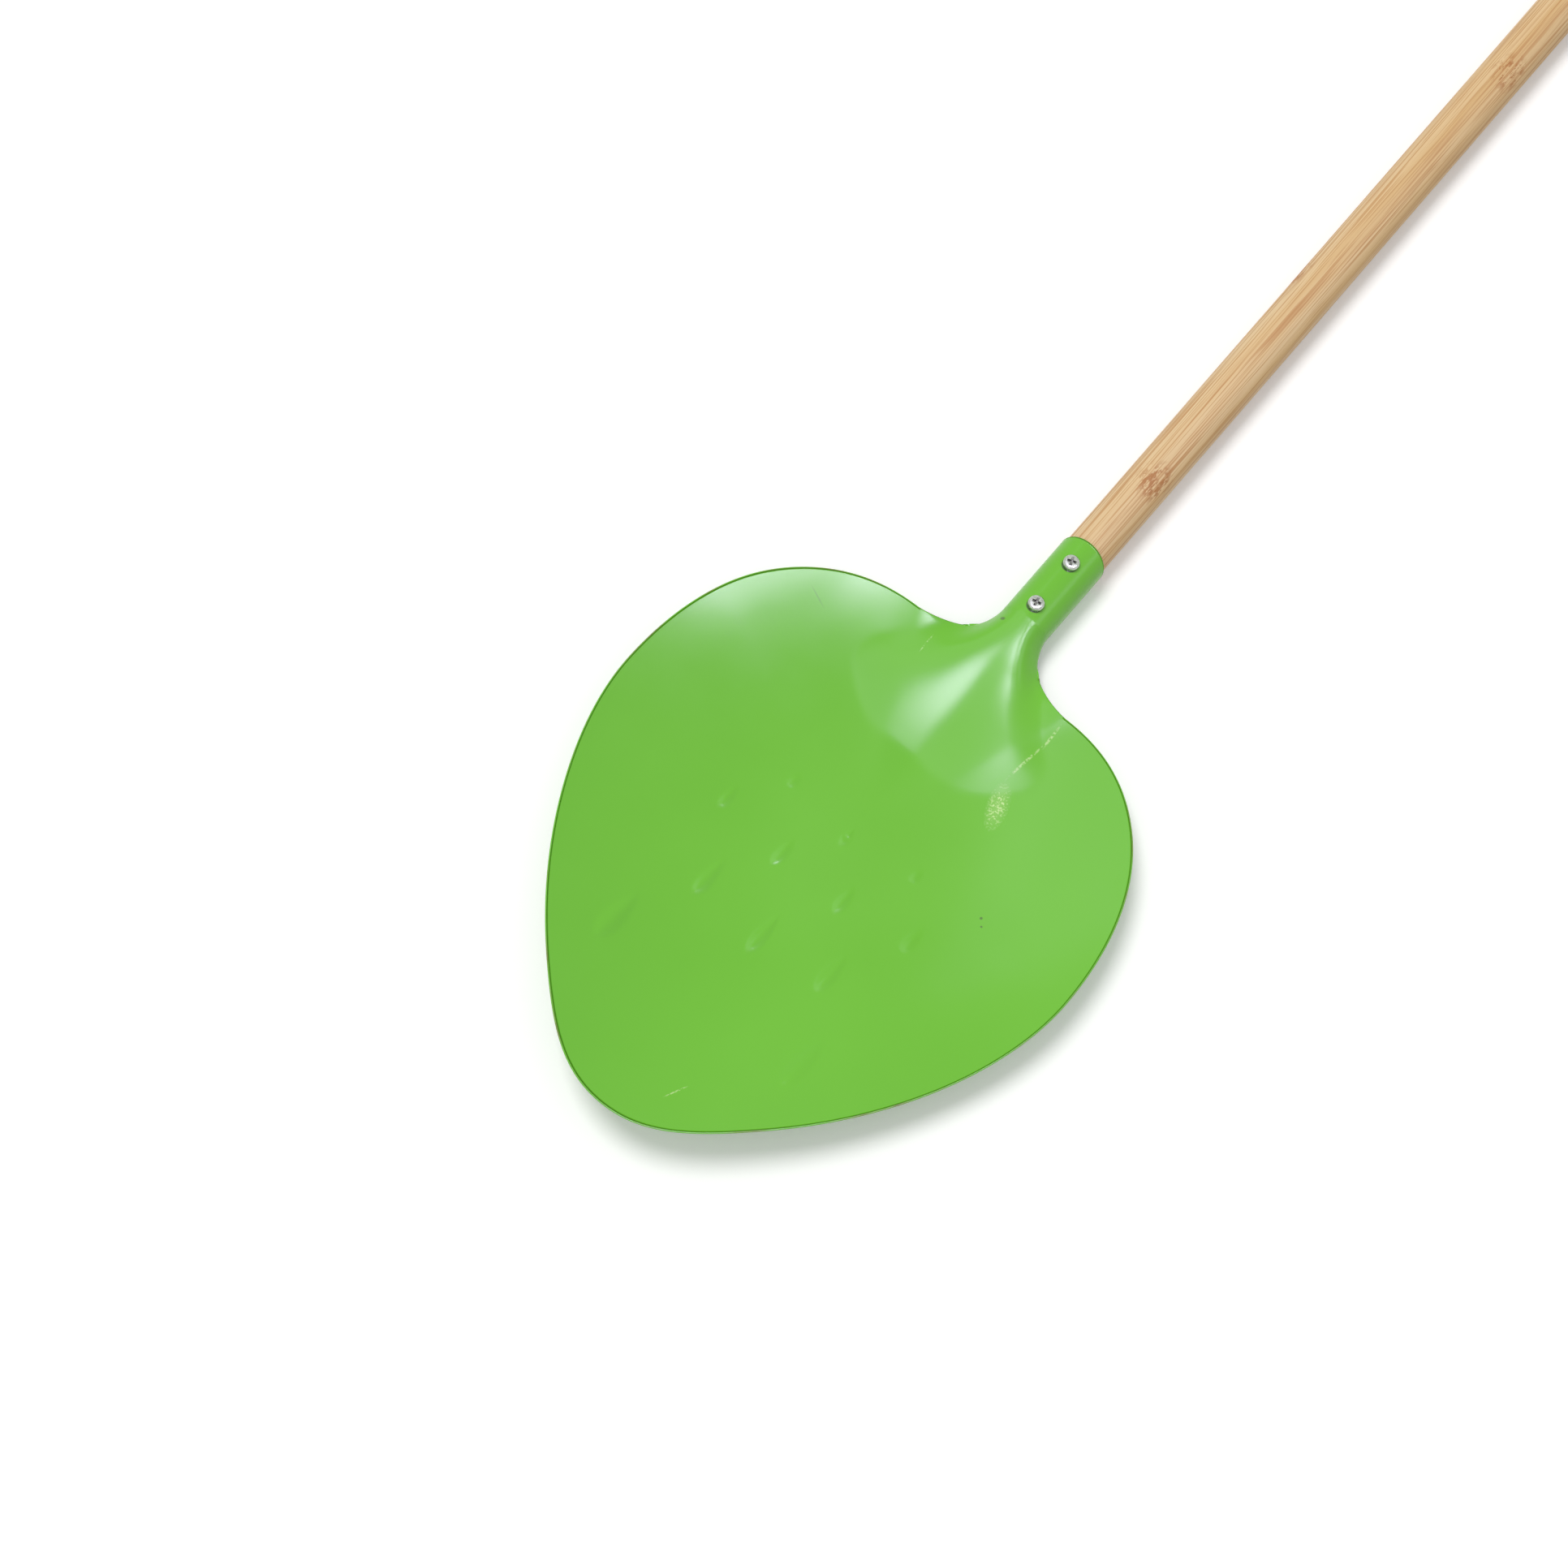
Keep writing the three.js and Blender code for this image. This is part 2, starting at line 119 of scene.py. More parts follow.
# Spout
SPOUT_TOP_HEIGHT = 18.4
SPOUT_START_REACH = 32.2
SPOUT_END_REACH = 106.0
SPOUT_EASE = 0.77
SPOUT_WALL_SLOPE = 0.055
SPOUT_WALL_GROWTH = 0.0026
SPOUT_BED = 1.8
SPOUT_BED_GROWTH = 0.06
CREST_ROUND = 5.4
CREASE_ROUND = 0.6

# Pressed seeds: distance from the rim, length, width, height and places across the blade
SEED_ROWS = [
    (197.3, 21.5, 8.5, 0.80, (-39.0, 39.0)),
    (170.5, 16.0, 6.2, 0.70, (0.0,)),
    (166.9, 16.0, 6.2, 0.70, (-26.0, 26.0)),
    (144.7, 11.0, 4.8, 0.50, (-13.0, 13.0)),
    (141.6, 10.0, 4.6, 0.45, (-39.0, 39.0)),
    (127.3, 6.5, 3.4, 0.35, (0.0,)),
    (123.3, 6.0, 3.2, 0.30, (-26.0, 26.0)),
]
TEARDROP_SPREAD = 2.6
SEED_LEAST_HALF_WIDTH = 0.001

# Screws, with each recess's turn in radians
HEAD_DIAMETER = 5.7
HEAD_HEIGHT = 1.9
HEAD_WALL = 0.55
HEAD_CROWN_SHARE = 0.35
HEAD_EDGE = 0.12
HEAD_BEVEL = 0.07
RECESS_SPAN = 3.4
RECESS_WIDTH = 1.0
RECESS_DEPTH = 1.25
RECESS_FOOT_SPAN = 1.3
RECESS_FOOT_WIDTH = 0.7
RECESS_OVERRUN = 0.3
RECESS_TURNS = {"upper_screw": 0.35, "lower_screw": 0.2}

# Shaft's free end
SHAFT_END_ROUND = 3.0

# Mesh steps
COLUMNS = 96
SOCKET_ROWS = 36
NECK_ROWS = 48
CURVE_STEPS = (40, 40, 64, 44)
CURVE_FINENESS = 40
DISH_RINGS = 110
EDGE_STEPS = 6
SHAFT_SIDES = 96
SHAFT_RINGS = 120
SHAFT_END_STEPS = 10
SCREW_SIDES = 96
HEAD_STEPS = 14
HEAD_BEVEL_STEPS = 2

# Marks in the paint, in places across the blade and from the rim; the fold line is a painted highlight
# and the seat marks are painted shadow
SCRATCHES = [
    ((12.9, 236.5), (16.7, 227.1)),
    ((-21.3, 64.1), (-21.5, 55.7)),
]
DULL_SCRATCHES = [((-64.3, 69.0), (-54.7, 72.5))]
# A painted highlight: a pale line along the right fold, where the crease catches the light
FOLD_HIGHLIGHT = [
    ((31.4, 53.5), (31.4, 66.0)),
    ((31.4, 61.0), (28.2, 81.0)),
]
SCRATCH_HALF_WIDTH = 0.35
FOLD_HIGHLIGHT_HALF_WIDTH = 0.6
MARK_DEPTH = 6.0
# Painted shadow beside each screw head: its radius, and its offset across and on towards the tip
SEAT_SHADOW_RADIUS = 3.0
SEAT_SHADOW_OFFSET = (-0.15, 0.5)

# Spots: place across and from the rim, half length, half width and turn; the specks are dark flecks in
# the paint, and the glint patch holds painted glints
# Painted glints and a painted glow where the right fold ends, standing in for a highlight
GLINT_PATCH = (31.8, 88.0, 9.5, 4.0, math.radians(-70.0))
SPECKS = [(51.9, 121.9, 0.7, 0.7), (53.8, 124.2, 0.6, 0.5), (-6.0, 38.9, 1.2, 0.9)]

# Knots in the bamboo, as places and half sizes
KNOTS = [
    ((3.2, 32.0, 16.0), (7.5, 9.0, 6.0)),
    ((-7.0, 128.0, 10.0), (5.0, 10.0, 7.0)),
    ((3.0, 236.0, 16.0), (7.0, 9.0, 5.0)),
    ((1.0, 92.0, 1.0), (7.0, 9.0, 5.0)),
    ((-2.0, 312.0, 2.0), (7.0, 9.0, 5.0)),
    ((7.0, 355.0, 10.0), (5.0, 10.0, 7.0)),
]

# Noise patterns, with scales per metre; along below 1 draws a pattern out along the shaft
PAINT_CLOUDS = dict(scale=14.0, detail=2.0)
PAINT_RIPPLE = dict(scale=90.0, detail=4.0)
MARK_GRAIN = dict(scale=1300.0, detail=2.0)
EDGE_RUB = dict(scale=60.0, detail=4.0)
BAMBOO_BANDS = dict(scale=130.0, detail=2.0, along=0.02)
BAMBOO_FIBRES = dict(scale=2400.0, detail=2.0, along=0.008)
BAMBOO_STREAKS = dict(scale=1250.0, detail=2.0, along=0.012)
KNOT_FLECKS = dict(scale=700.0, detail=3.0, along=0.30, roughness=0.7)
ZINC_GRAIN = dict(scale=1500.0, detail=3.0)
FLOOR_CLOUDS = dict(scale=3.0, detail=4.0)

# Tones that a pattern runs through, each at its place in the pattern's values
PAINT_TONES = [(0.35, linear(106, 187, 38)), (0.65, linear(109, 190, 43))]
EDGE_TONES = [(0.48, linear(106, 186, 40)), (0.60, linear(116, 168, 54)), (0.72, linear(118, 116, 60))]
BAMBOO_TONES = [
    (0.35, linear(211, 173, 116)),
    (0.50, linear(220, 187, 137)),
    (0.65, linear(226, 198, 153)),
]
ZINC_TONES = [(0.3, (0.36, 0.39, 0.34, 1.0)), (0.7, (0.58, 0.62, 0.55, 1.0))]
# Zinc darkened as painted shade inside the cross recesses
RECESS_SHADE_TONES = [(0.3, (0.14, 0.14, 0.13, 1.0)), (0.7, (0.32, 0.33, 0.30, 1.0))]
FLOOR_TONES = [(0.0, (0.93, 0.93, 0.93, 1.0)), (1.0, (0.95, 0.95, 0.95, 1.0))]

# Colours of the marks, fibres and knots; the pale one serves both real scratches and painted highlights
PALE_SCRATCH_AND_HIGHLIGHT = linear(196, 228, 150)
DARK_MARK = linear(70, 95, 38)
# Painted shadow beside the screw heads
PAINTED_SEAT_SHADOW = linear(36, 58, 22)
FIBRE_TONE = linear(192, 143, 86)
STREAK_TONE = linear(184, 129, 70)
KNOT_TONE = linear(172, 112, 54)
BLACK = (0.0, 0.0, 0.0, 1.0)
WHITE = (1.0, 1.0, 1.0, 1.0)

# Fades: the span of a pattern's values, and the levels that it becomes
LINE_FADE = ((0.0, 0.5), (0.0, 0.75))
LINE_BREAKS = ((0.42, 0.56), (0.0, 1.0))
GLINT_FADE = ((0.5, 0.62), (0.0, 1.6))
PAINTED_GLOW_FADE = ((0.0, 1.0), (0.0, 0.3))
SPECK_FADE = ((0.1, 0.5), (0.0, 0.75))
DULL_FADE = ((0.0, 0.6), (0.0, 0.3))
SEAT_SHADOW_FADE = ((0.0, 0.1), (0.0, 0.85))
FIBRE_FADE = ((0.52, 0.60), (0.0, 0.75))
STREAK_FADE = ((0.56, 0.62), (0.0, 0.60))
KNOT_FADE = ((0.0, 0.5), (0.0, 1.0))
FLECK_FADE = ((0.48, 0.56), (0.0, 0.9))

# Roughness at the low and the high end of a noise's usual span, and bumps with heights in metres
NOISE_SPAN = (0.3, 0.7)
PAINT_ROUGHNESS = (0.21, 0.24)
EDGE_ROUGHNESS = (0.25, 0.5)
BAMBOO_ROUGHNESS = (0.45, 0.6)
ZINC_ROUGHNESS = (0.16, 0.28)
FIBRE_BUMP = dict(Strength=0.25, Distance=0.0003)
ZINC_BUMP = dict(Strength=0.08, Distance=0.0001)

# Numbers of the Mix node's colour sockets, whose names it also gives to sockets of other types
MIX_FACTOR, MIX_FIRST, MIX_SECOND, MIX_RESULT = 0, 6, 7, 2

# Camera: distance in metres, sensor in millimetres, and the photograph's size in pixels
AZIMUTH = math.radians(39.69)
ELEVATION = math.radians(71.0)
DISTANCE = 1.15
TARGET_ASIDE = -28.0
TARGET_REACH = 126.4
TARGET = Vector((TARGET_ASIDE * MM, RIM_Y - TARGET_REACH * MM, 0.0))
SENSOR = 36.0
FOCAL_PIXELS = 4270.0
IMAGE_PIXELS = 1932.0
RIGHT = Vector((math.cos(AZIMUTH), math.sin(AZIMUTH), 0.0))
AWAY = Vector((-math.sin(AZIMUTH), math.cos(AZIMUTH), 0.0))
UP = Vector((0.0, 0.0, 1.0))

# Floor and light: lengths in metres, directions as shares to the right and away from the viewer
FLOOR_HALF_WIDTH = 3.0
FLOOR_LIFT = 0.17
FLOOR_BOUNCE = 0.65
SKY_LEVEL = 0.54
KEY_DIRECTION = (-0.19, 0.25)
KEY_LEVEL = 0.48
KEY_SPREAD = math.radians(25.0)
SOFTBOX_DISTANCE = 5.0
SOFTBOX_TINT = (1.0, 0.85, 1.28)

# Softboxes: direction to the right and away, half sizes as shares in the same two ways, and radiance
SOFTBOXES = {
    "front_softbox": (-0.125, -0.33, 0.275, 0.130, 16.0),
    "hood_fill": (-0.10, -0.10, 0.07, 0.10, 2.8),
    "right_softbox": (0.33, -0.375, 0.18, 0.085, 14.0),
    "right_strip": (0.72, -0.275, 0.15, 0.12, 1.3),
    "left_fill": (-0.48, 0.20, 0.34, 0.45, 0.75),
}


# Small maths
def smooth_between(low, high, value):
    share = np.clip((value - low) / (high - low), 0.0, 1.0)
    return share * share * (3.0 - 2.0 * share)


def soft_min(a, b, round_by):
    """The smaller of two heights, with the crest rounded where they differ by less than round_by."""
    near = np.maximum(0.0, 1.0 - np.abs(a - b) / round_by)
    return np.minimum(a, b) - near * near * round_by / 4


def soft_start(rise, round_by):
    """A rise that is nothing below zero and starts gently above it."""
    up = np.clip(rise, 0.0, round_by)
    return up * up / (2 * round_by) + np.maximum(0.0, rise - round_by)


def lerp(a, b, share):
    return a + (b - a) * share


def spaced_bezier(corners, steps):
    """Points at even distances along a cubic curve."""
    t = np.linspace(0.0, 1.0, CURVE_FINENESS * steps)[:, None]
    start, first_pull, second_pull, end = np.array(corners) * (1.0, -1.0)
    near = (1 - t) ** 3 * start + 3 * t * (1 - t) ** 2 * first_pull
    dense = near + 3 * t * t * (1 - t) * second_pull + t**3 * end
    run = np.concatenate([[0.0], np.cumsum(np.linalg.norm(np.diff(dense, axis=0), axis=1))])
    places = np.linspace(0.0, run[-1], steps + 1)
    return np.column_stack([np.interp(places, run, axis) for axis in dense.T])


# The blade's upper face
def half_outline():
    runs = [spaced_bezier(curve, steps) for curve, steps in zip(OUTLINE, CURVE_STEPS)]
    return np.vstack([runs[0][:1]] + [run[1:] for run in runs])


HALF_OUTLINE = half_outline()


def dish_boundary():
    """The neck's line from left to right, then round the right side, the tip and the left side."""
    across = np.linspace(-1.0, 1.0, COLUMNS + 1)[:-1]
    neck = np.column_stack([KINK_HALF_WIDTH * across, np.full(COLUMNS, -KINK_REACH)])
    left = HALF_OUTLINE[1:-1][::-1] * (-1.0, 1.0)
    return np.vstack([neck, HALF_OUTLINE, left])


def angle_from_neck(x, y):
    return np.abs(np.arctan2(x, y + DISH_REACH))


def share_out(x, y):
    """How far out a place lies, as a share of the way from the dish's centre to its boundary."""
    neck_x = np.linspace(0.0, KINK_HALF_WIDTH, COLUMNS)[:-1]
    neck = np.column_stack([neck_x, np.full_like(neck_x, -KINK_REACH)])
    edge = np.vstack([neck, HALF_OUTLINE])
    reach = np.hypot(edge[:, 0], edge[:, 1] + DISH_REACH)
    angles = angle_from_neck(edge[:, 0], edge[:, 1])
    return np.hypot(x, y + DISH_REACH) / np.interp(angle_from_neck(x, y), angles, reach)


def rim_height(x, y):
    angle = angle_from_neck(x, y)
    neck = lerp(NECK_RIM_SHARE, 1.0, smooth_between(0.0, KINK_ANGLE, angle))
    side = smooth_between(KINK_ANGLE, KINK_ANGLE + RIM_RISE_ANGLE, angle)
    tip = smooth_between(math.pi - TIP_RISE_ANGLE, math.pi, angle)
    return KINK_HEIGHT * neck + (RIM_HEIGHT - KINK_HEIGHT) * side + (TIP_HEIGHT - RIM_HEIGHT) * tip


def dish_height(x, y, share):
    climb = np.maximum(0.0, (share - FLOOR_SHARE) / (1.0 - FLOOR_SHARE))
    return SHEET + (rim_height(x, y) - SHEET) * climb**CLIMB_POWER


def hood_rise(x, y, dish):
    """How far the socket's front wall stands above the dish as it runs on over it."""
    past = -y - HOOD_FALL_REACH
    top = SOCKET_TOP - HOOD_FALL * (past + np.hypot(past, HOOD_FALL_SOFTNESS)) / 2
    width = HOOD_WIDTH * np.exp((-y - KINK_REACH) / HOOD_SPREAD_LENGTH)
    return np.maximum(0.0, top - dish) * np.exp(-np.abs(x / width) ** HOOD_SQUARENESS)


def spout_height(x, y):
    share = np.clip((-y - SPOUT_START_REACH) / (SPOUT_END_REACH - SPOUT_START_REACH), 0.0, 1.0)
    bed = SPOUT_TOP_HEIGHT * (1.0 - smooth_between(0.0, 1.0, share**SPOUT_EASE))
    slope = SPOUT_WALL_SLOPE + SPOUT_WALL_GROWTH * (-y - KINK_REACH)
    bed_round = SPOUT_BED + SPOUT_BED_GROWTH * np.maximum(0.0, -y - KINK_REACH)
    return bed + slope * (np.hypot(x, bed_round) - bed_round)


def foot_height(x, y):
    """The ramp on which the hood runs out, to a rounded point in the dish."""
    run = FOOT_REACH + y - FOOT_TAPER * (np.hypot(x, FOOT_ROUND) - FOOT_ROUND)
    return FOOT_SLOPE * run * (1.0 + (run / FOOT_STEEP_RUN) ** 2)


def blade_height(x, y, share):
    dish = dish_height(x, y, share)
    grooved = soft_min(hood_rise(x, y, dish), spout_height(x, y) - dish, CREST_ROUND)
    return dish + soft_start(soft_min(grooved, foot_height(x, y), FOOT_EASE), CREASE_ROUND)


def seed_rise(x, y):
    """Height that the pressed seeds add: teardrops with a round head towards the tip."""
    rise = np.zeros_like(x)
    for reach, length, width, height, places in SEED_ROWS:
        along = np.clip(0.5 - (y + reach) / length, 0.0, 1.0)
        spread = TEARDROP_SPREAD * along * np.sqrt(1.0 - along)
        half_width = np.maximum(width / 2 * spread, SEED_LEAST_HALF_WIDTH)
        for place in places:
            aside = np.abs(x - place) / half_width
            rise += height * spread * np.maximum(0.0, 1.0 - aside**2) ** 2
    return rise


def socket_points(across, along):
    turn = across * HALF_TURN
    rim = -SOCKET_RIM_SLANT * (1.0 - np.cos(turn))
    y = lerp(rim, -SOCKET_LENGTH, along)
    return np.stack([SOCKET_OUTER * np.sin(turn), y, AXIS_HEIGHT + SOCKET_OUTER * np.cos(turn)], -1)


def neck_points(across, along):
    turn = across * HALF_TURN
    lift = smooth_between(0.0, 1.0, along**LIFT_POWER)
    lag = EDGE_LAG * across**2 * (smooth_between(0.0, 1.0, along) - along)
    x = lerp(SOCKET_OUTER * np.sin(turn), KINK_HALF_WIDTH * across, along**UNROLL_POWER)
    y = -SOCKET_LENGTH - NECK_LENGTH * (along + lag)
    rolled = AXIS_HEIGHT + SOCKET_OUTER * np.cos(turn)
    return np.stack([x, y, lerp(rolled, blade_height(x, y, share_out(x, y)), lift)], -1)


def dish_points():
    boundary = dish_boundary()
    centre = np.array([0.0, -DISH_REACH])
    share = np.linspace(1.0, 1.0 / DISH_RINGS, DISH_RINGS)[:, None]
    place = centre + share[..., None] * (boundary - centre)
    x, y = place[..., 0], place[..., 1]
    z = blade_height(x, y, np.broadcast_to(share, x.shape)) + seed_rise(x, y)
    return np.stack([x, y, z], -1)


def strip_quads(first, second, wrap=False):
    """Quads between two rows of point numbers."""
    if wrap:
        first, second = np.append(first, first[0]), np.append(second, second[0])
    return np.column_stack([first[:-1], second[:-1], second[1:], first[1:]])


def upper_face():
    """Points and quads of the sheet's upper face, and the fan of triangles at the dish's centre."""
    across = np.linspace(-1.0, 1.0, COLUMNS + 1)
    socket = socket_points(*np.meshgrid(across, np.arange(SOCKET_ROWS) / SOCKET_ROWS))
    neck = neck_points(*np.meshgrid(across, np.arange(NECK_ROWS) / NECK_ROWS))
    dish = dish_points()
    around = dish.shape[1]
    centre = np.array([[0.0, -DISH_REACH, SHEET]])
    points = np.vstack([socket.reshape(-1, 3), neck.reshape(-1, 3), dish.reshape(-1, 3), centre])
    rows = np.arange((SOCKET_ROWS + NECK_ROWS) * (COLUMNS + 1)).reshape(-1, COLUMNS + 1)
    rings = rows.size + np.arange(DISH_RINGS * around).reshape(-1, around)
    rows = np.vstack([rows, rings[0][: COLUMNS + 1]])
    quads = [strip_quads(a, b) for a, b in zip(rows, rows[1:])]
    quads += [strip_quads(a, b, wrap=True) for a, b in zip(rings, rings[1:])]
    last = rings[-1]
    fan = np.column_stack([last, np.full(around, len(points) - 1), np.roll(last, -1)])
    return points, np.vstack(quads), fan


def point_normals(points, quads):
    """Each point's normal; the last point, the dish's centre, is in no quad and faces up."""
    cross = np.cross(points[quads[:, 2]] - points[quads[:, 0]], points[quads[:, 3]] - points[quads[:, 1]])
    normals = np.zeros_like(points)
    for corner in quads.T:
        np.add.at(normals, corner, cross)
    normals[-1] = UP
    return normals / np.linalg.norm(normals, axis=1, keepdims=True)


def boundary_loop(quads):
    """The sheet's outer edge as a loop of point numbers from 0, with the sheet on its left."""
    open_edges = set()
    for quad in quads.tolist():
        for a, b in zip(quad, quad[1:] + quad[:1]):
            if (b, a) in open_edges:
                open_edges.remove((b, a))
            else:
                open_edges.add((a, b))
    onward = dict(open_edges)
    loop = [0]
    while onward[loop[-1]] != loop[0]:
        loop.append(onward[loop[-1]])
    return np.array(loop)


def blade_mesh():
    """Points and faces of the sheet, and the faces of the round edge that runs all round it."""
    points, quads, fan = upper_face()
    normals = point_normals(points, quads)
    loop = boundary_loop(quads)
    radius = SHEET / 2
    tangent = np.roll(points[loop], -1, axis=0) - np.roll(points[loop], 1, axis=0)
    outward = np.cross(tangent, normals[loop])
    outward /= np.linalg.norm(outward, axis=1, keepdims=True)
    points[loop] -= outward * radius
    middle = points[loop] - normals[loop] * radius
    under = points - normals * SHEET
    arcs = []
    for step in range(1, EDGE_STEPS):
        turn = math.pi * step / EDGE_STEPS
        arcs.append(middle + radius * (math.cos(turn) * normals[loop] + math.sin(turn) * outward))
    count = len(points)
    arc_rows = 2 * count + np.arange(len(arcs) * len(loop)).reshape(-1, len(loop))
    rows = [loop, *arc_rows, loop + count]
    edge_quads = np.vstack([strip_quads(b, a, wrap=True) for a, b in zip(rows, rows[1:])])
    upper_faces = quads.tolist() + fan.tolist()
    under_faces = (quads[:, ::-1] + count).tolist() + (fan[:, ::-1] + count).tolist()
    return np.vstack([points, under] + arcs), upper_faces + under_faces, edge_quads.tolist()


# Objects
def new_object(name, points, faces, material):
    """A mesh object in the scene."""
    mesh = bpy.data.meshes.new(name)
    mesh.from_pydata(points, [], faces)
    mesh.materials.append(material)
    piece = bpy.data.objects.new(name, mesh)
    bpy.context.scene.collection.objects.link(piece)
    return piece


def smooth_object(name, points, faces, material):
    """A smooth-shaded object from points in millimetres from the rim."""
    placed = points * MM + (0.0, RIM_Y, 0.0)
    piece = new_object(name, placed.tolist(), faces, material)
    piece.data.shade_smooth()
    return piece


def dress(piece, node):
    """Ties a piece to the frame, in place of a CAD node."""
    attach(piece, "root")
    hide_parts(node)


def blade_object():
    points, faces, edge_faces = blade_mesh()
    blade = smooth_object("blade_sheet", points, faces + edge_faces, green_paint())
    blade.data.materials.append(worn_edge())
    for face in blade.data.polygons[len(faces) :]:
        face.material_index = 1
    return blade


# Shaft
def shaft_profile():
    """Radius and place along the shaft, from its foot in the socket to its rounded end."""
    straight = np.linspace(SHAFT_FOOT, SHAFT_END - SHAFT_END_ROUND, SHAFT_RINGS)
    turn = np.linspace(0.0, math.pi / 2, SHAFT_END_STEPS + 1)[1:]
    end_radius = SHAFT_RADIUS - SHAFT_END_ROUND * (1.0 - np.cos(turn))
    end_along = SHAFT_END - SHAFT_END_ROUND * (1.0 - np.sin(turn))
    radius = np.concatenate([np.full(SHAFT_RINGS, SHAFT_RADIUS), end_radius])
    return radius, np.concatenate([straight, end_along])


def turned_mesh(radius, along, sides):
    """A body of revolution about +Y, closed at both ends by a fan."""
    turn = np.linspace(0.0, 2 * math.pi, sides, endpoint=False)
    x, z = np.outer(radius, np.sin(turn)), np.outer(radius, np.cos(turn))
    rings = np.stack([x, np.outer(along, np.ones(sides)), z], -1)
    points = np.vstack([rings.reshape(-1, 3), [[0.0, along[0], 0.0], [0.0, along[-1], 0.0]]])
    numbers = np.arange(len(radius) * sides).reshape(-1, sides)
    faces = np.vstack([strip_quads(b, a, wrap=True) for a, b in zip(numbers, numbers[1:])]).tolist()
    first, last = numbers[0].tolist(), numbers[-1].tolist()
    first_centre, last_centre = len(points) - 2, len(points) - 1
    for side in range(sides):
        onward = (side + 1) % sides
        faces.append([first_centre, first[onward], first[side]])
        faces.append([last_centre, last[side], last[onward]])
    return points, faces


def shaft_object():
    points, faces = turned_mesh(*shaft_profile(), SHAFT_SIDES)
    points[:, 2] += AXIS_HEIGHT
    return smooth_object("bamboo_shaft", points, faces, bamboo())


# Screws
def head_profile():
    """Radius and height of the pan head, from under its rim to its crown."""
    radius = HEAD_DIAMETER / 2
    turn = np.linspace(0.0, math.pi / 2, HEAD_STEPS)
    crown = radius * HEAD_CROWN_SHARE
    out = np.concatenate([[crown, radius - HEAD_EDGE, radius], crown + (radius - crown) * np.cos(turn)])
    up = np.concatenate([[0.0, 0.0, HEAD_EDGE], HEAD_WALL + (HEAD_HEIGHT - HEAD_WALL) * np.sin(turn)])
    return out, up


def cross_outline(span, width):
    """The twelve corners of a cross with this span, from bars of this width."""
    reach, half = span / 2, width / 2
    quarter = [(reach, -half), (reach, half), (half, half)]
    corners = []
    for turn in range(4):
        for x, y in quarter:
            for _ in range(turn):
                x, y = -y, x
            corners.append((x, y))
    return corners


def recess_shape():
    """Points and faces of a cross that narrows towards its foot."""
    top_span = RECESS_SPAN + (RECESS_SPAN - RECESS_FOOT_SPAN) * RECESS_OVERRUN / RECESS_DEPTH
    foot_cross = cross_outline(RECESS_FOOT_SPAN, RECESS_FOOT_WIDTH)
    top_cross = cross_outline(top_span, RECESS_WIDTH)
    foot = [(x, y, HEAD_HEIGHT - RECESS_DEPTH) for x, y in foot_cross]
    top = [(x, y, HEAD_HEIGHT + RECESS_OVERRUN) for x, y in top_cross]
    count = len(foot)
    sides = [(i, (i + 1) % count, count + (i + 1) % count, count + i) for i in range(count)]
    return foot + top, sides + [tuple(reversed(range(count))), tuple(range(count, 2 * count))]


def cut_recess(head, cutter):
    """Takes the cross out of the head, keeps the cutter's material in it and eases the edges."""
    cut = head.modifiers.new("recess", "BOOLEAN")
    cut.object = cutter
    cut.solver = "EXACT"
    cut.material_mode = "TRANSFER"
    edge = head.modifiers.new("edge", "BEVEL")
    edge.width = HEAD_BEVEL
    edge.segments = HEAD_BEVEL_STEPS
    edge.limit_method = "ANGLE"
    bpy.context.view_layer.update()
    graph = bpy.context.evaluated_depsgraph_get()
    done = bpy.data.meshes.new_from_object(head.evaluated_get(graph))
    head.modifiers.clear()
    head.data = done
    bpy.data.objects.remove(cutter)


def screw_seat(node):
    """The middle of the plane under a screw's head, in metres."""
    low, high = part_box(node)
    return Vector((0.0, (low[1] + high[1]) / 2, high[2] - HEAD_HEIGHT * MM))


def screw_object(node, metal, recess_shade_metal):
    """A pan head with a cross recess, cut in millimetres and then seated where the CAD screw is."""
    points, faces = turned_mesh(*head_profile(), SCREW_SIDES)
    upright = points[:, [0, 2, 1]]
    head = new_object(node + "_head", upright.tolist(), [face[::-1] for face in faces], metal)
    # The cutter carries zinc darkened as painted shade into the recess
    cutter = new_object(node + "_cutter", *recess_shape(), recess_shade_metal)
    cutter.rotation_euler.z = RECESS_TURNS[node]
    cut_recess(head, cutter)
    seat = screw_seat(node)
    for vertex in head.data.vertices:
        vertex.co = vertex.co * MM + seat
    head.data.shade_smooth()
    return head


# Material helpers
def new_material(name):
    """A material, its node tree and its shader."""
    material = bpy.data.materials.new(name)
    material.use_nodes = True
    tree = material.node_tree
    return material, tree, tree.nodes["Principled BSDF"]


def add_node(tree, kind, **inputs):
    node = tree.nodes.new(kind)
    for name, value in inputs.items():
        node.inputs[name].default_value = value
    return node


def pattern(tree, scale, detail, along=1.0, roughness=0.5):
    """Noise that is fixed to the object."""
    coordinates = tree.nodes.new("ShaderNodeTexCoord")
    mapping = add_node(tree, "ShaderNodeMapping", Scale=(1.0, along, 1.0))
    noise = add_node(tree, "ShaderNodeTexNoise", Scale=scale, Detail=detail, Roughness=roughness)
    tree.links.new(coordinates.outputs["Object"], mapping.inputs["Vector"])
    tree.links.new(mapping.outputs["Vector"], noise.inputs["Vector"])
    return noise.outputs["Fac"]


